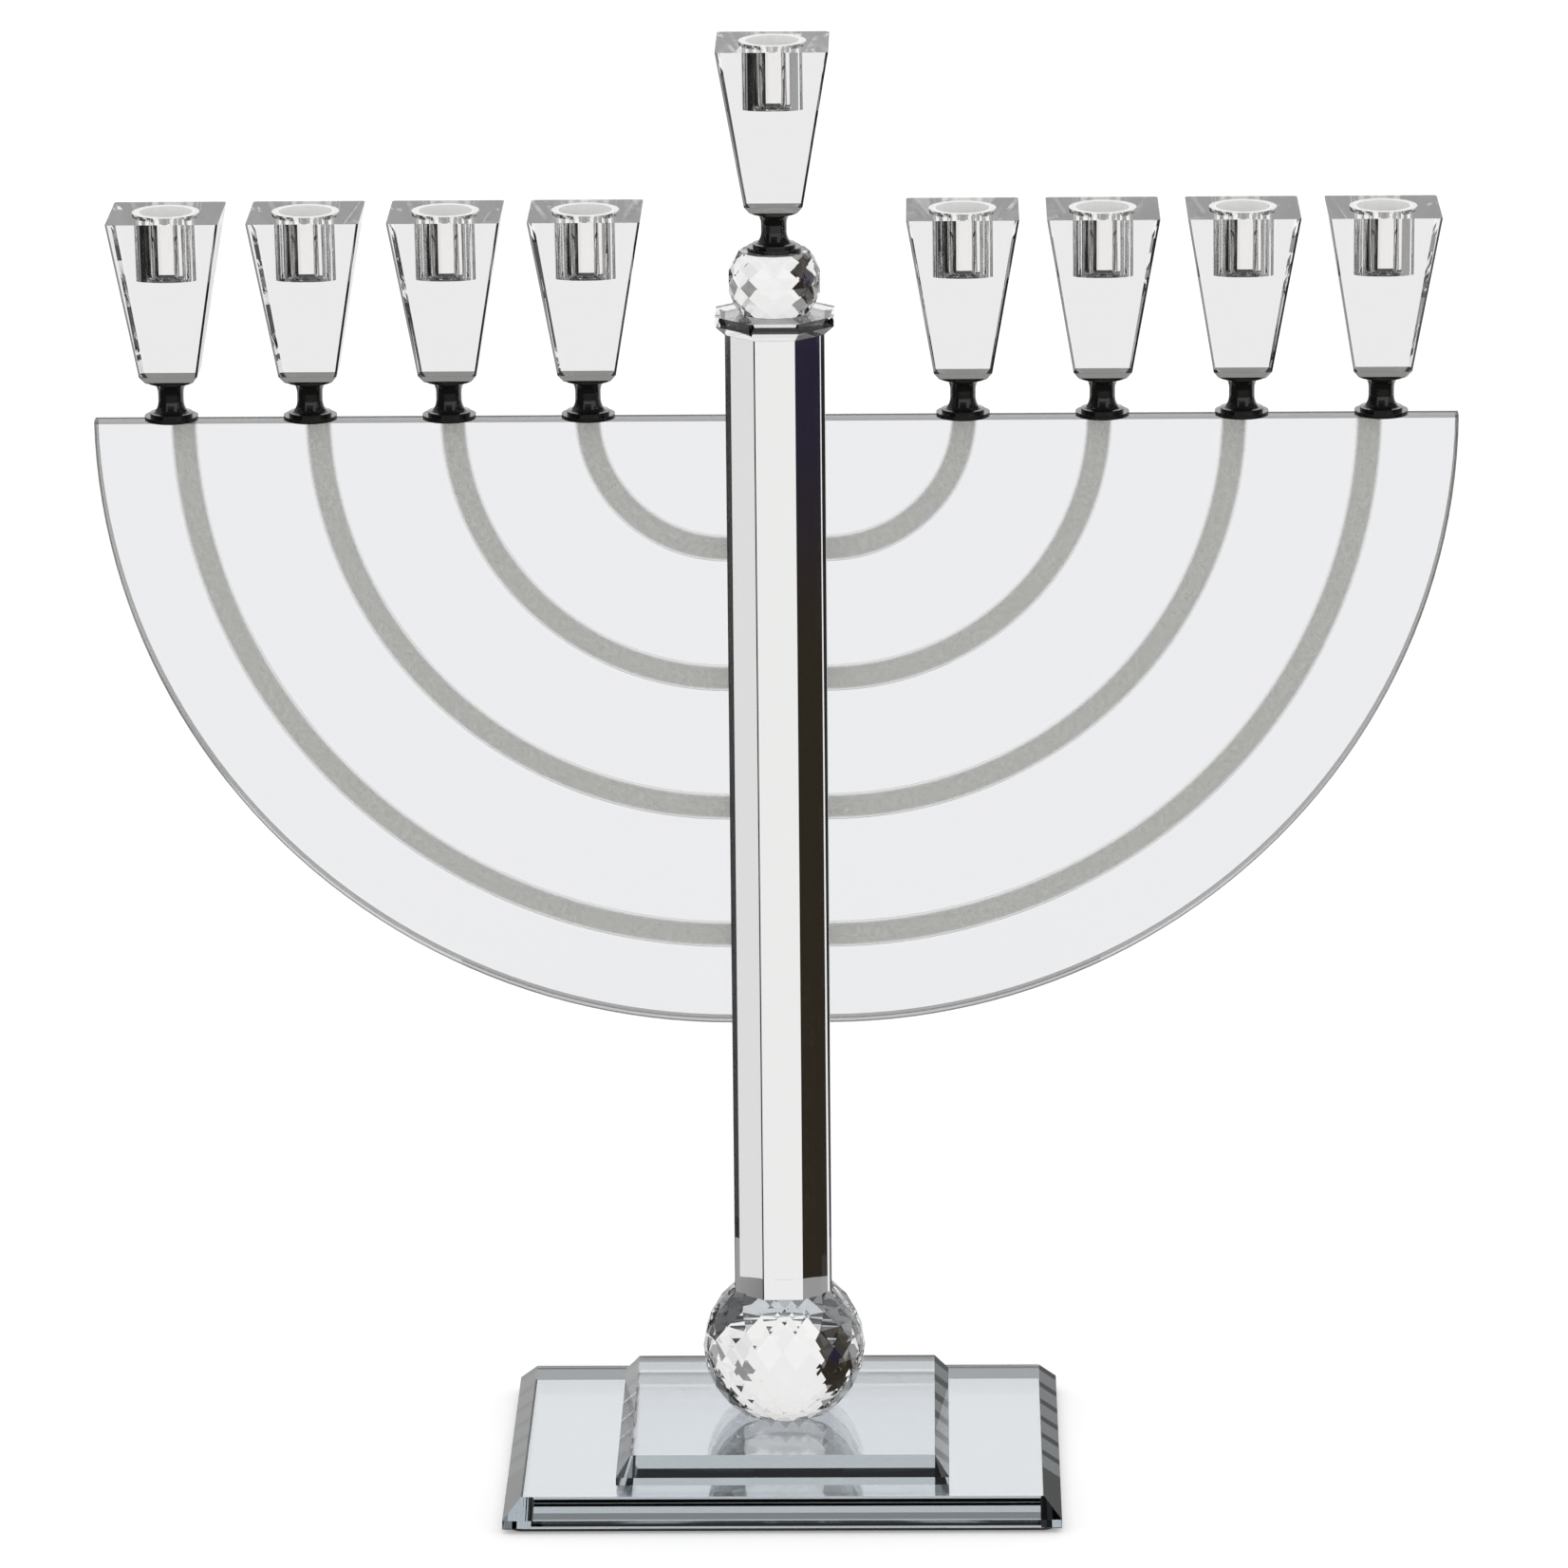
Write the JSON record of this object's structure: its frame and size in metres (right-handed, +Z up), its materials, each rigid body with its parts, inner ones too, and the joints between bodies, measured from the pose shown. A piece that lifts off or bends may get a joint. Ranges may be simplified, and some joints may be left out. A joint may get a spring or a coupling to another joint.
{
  "type": "menorah",
  "caption": "Crystal menorah with a mirrored stepped base, faceted balls, an octagonal column, clear arm panels and flared square candle holders with lift-out cups.",
  "frame": {"origin": "centre of the underside of the base, on the table", "axes": "+Z up the column, +X towards the right arm as seen from the front, +Y to the back, away from the viewer"},
  "size_m": [0.2998, 0.0944, 0.3277],
  "materials": {
    "felt": "short grey felt",
    "silvering": "silvered, paint-backed",
    "plate_glass": "polished, faint cool tint",
    "arm_glass": "polished, with frosted engraved branches",
    "crystal": "clear cut crystal",
    "holder_crystal": "clear polished crystal",
    "black_metal": "glossy black nickel",
    "chrome": "bright polished"
  },
  "bodies": {
    "root": {"base_pad": "felt", "mirror_backing": "silvering", "lower_slab": "plate_glass", "upper_slab": "plate_glass", "base_ball": "crystal", "column": "crystal", "collar": "crystal", "top_ball": "crystal", "left_panel": "arm_glass", "right_panel": "arm_glass", "stem_left_1": "black_metal", "stem_left_2": "black_metal", "stem_left_3": "black_metal", "stem_left_4": "black_metal", "stem_right_1": "black_metal", "stem_right_2": "black_metal", "stem_right_3": "black_metal", "stem_right_4": "black_metal", "stem_shamash": "black_metal", "holder_left_1": "holder_crystal", "holder_left_2": "holder_crystal", "holder_left_3": "holder_crystal", "holder_left_4": "holder_crystal", "holder_right_1": "holder_crystal", "holder_right_2": "holder_crystal", "holder_right_3": "holder_crystal", "holder_right_4": "holder_crystal", "holder_shamash": "holder_crystal"},
    "cup_left_1": {"cup_left_1": "chrome"},
    "cup_left_2": {"cup_left_2": "chrome"},
    "cup_left_3": {"cup_left_3": "chrome"},
    "cup_left_4": {"cup_left_4": "chrome"},
    "cup_right_1": {"cup_right_1": "chrome"},
    "cup_right_2": {"cup_right_2": "chrome"},
    "cup_right_3": {"cup_right_3": "chrome"},
    "cup_right_4": {"cup_right_4": "chrome"},
    "cup_shamash": {"cup_shamash": "chrome"}
  },
  "joints": [
    {"name": "cup_left_1_lift", "type": "slide", "parent": "root", "child": "cup_left_1", "axis": [0, 0, 1], "range_m": [0, 0.02]},
    {"name": "cup_left_2_lift", "type": "slide", "parent": "root", "child": "cup_left_2", "axis": [0, 0, 1], "range_m": [0, 0.02]},
    {"name": "cup_left_3_lift", "type": "slide", "parent": "root", "child": "cup_left_3", "axis": [0, 0, 1], "range_m": [0, 0.02]},
    {"name": "cup_left_4_lift", "type": "slide", "parent": "root", "child": "cup_left_4", "axis": [0, 0, 1], "range_m": [0, 0.02]},
    {"name": "cup_right_1_lift", "type": "slide", "parent": "root", "child": "cup_right_1", "axis": [0, 0, 1], "range_m": [0, 0.02]},
    {"name": "cup_right_2_lift", "type": "slide", "parent": "root", "child": "cup_right_2", "axis": [0, 0, 1], "range_m": [0, 0.02]},
    {"name": "cup_right_3_lift", "type": "slide", "parent": "root", "child": "cup_right_3", "axis": [0, 0, 1], "range_m": [0, 0.02]},
    {"name": "cup_right_4_lift", "type": "slide", "parent": "root", "child": "cup_right_4", "axis": [0, 0, 1], "range_m": [0, 0.02]},
    {"name": "cup_shamash_lift", "type": "slide", "parent": "root", "child": "cup_shamash", "axis": [0, 0, 1], "range_m": [0, 0.02]}
  ]
}
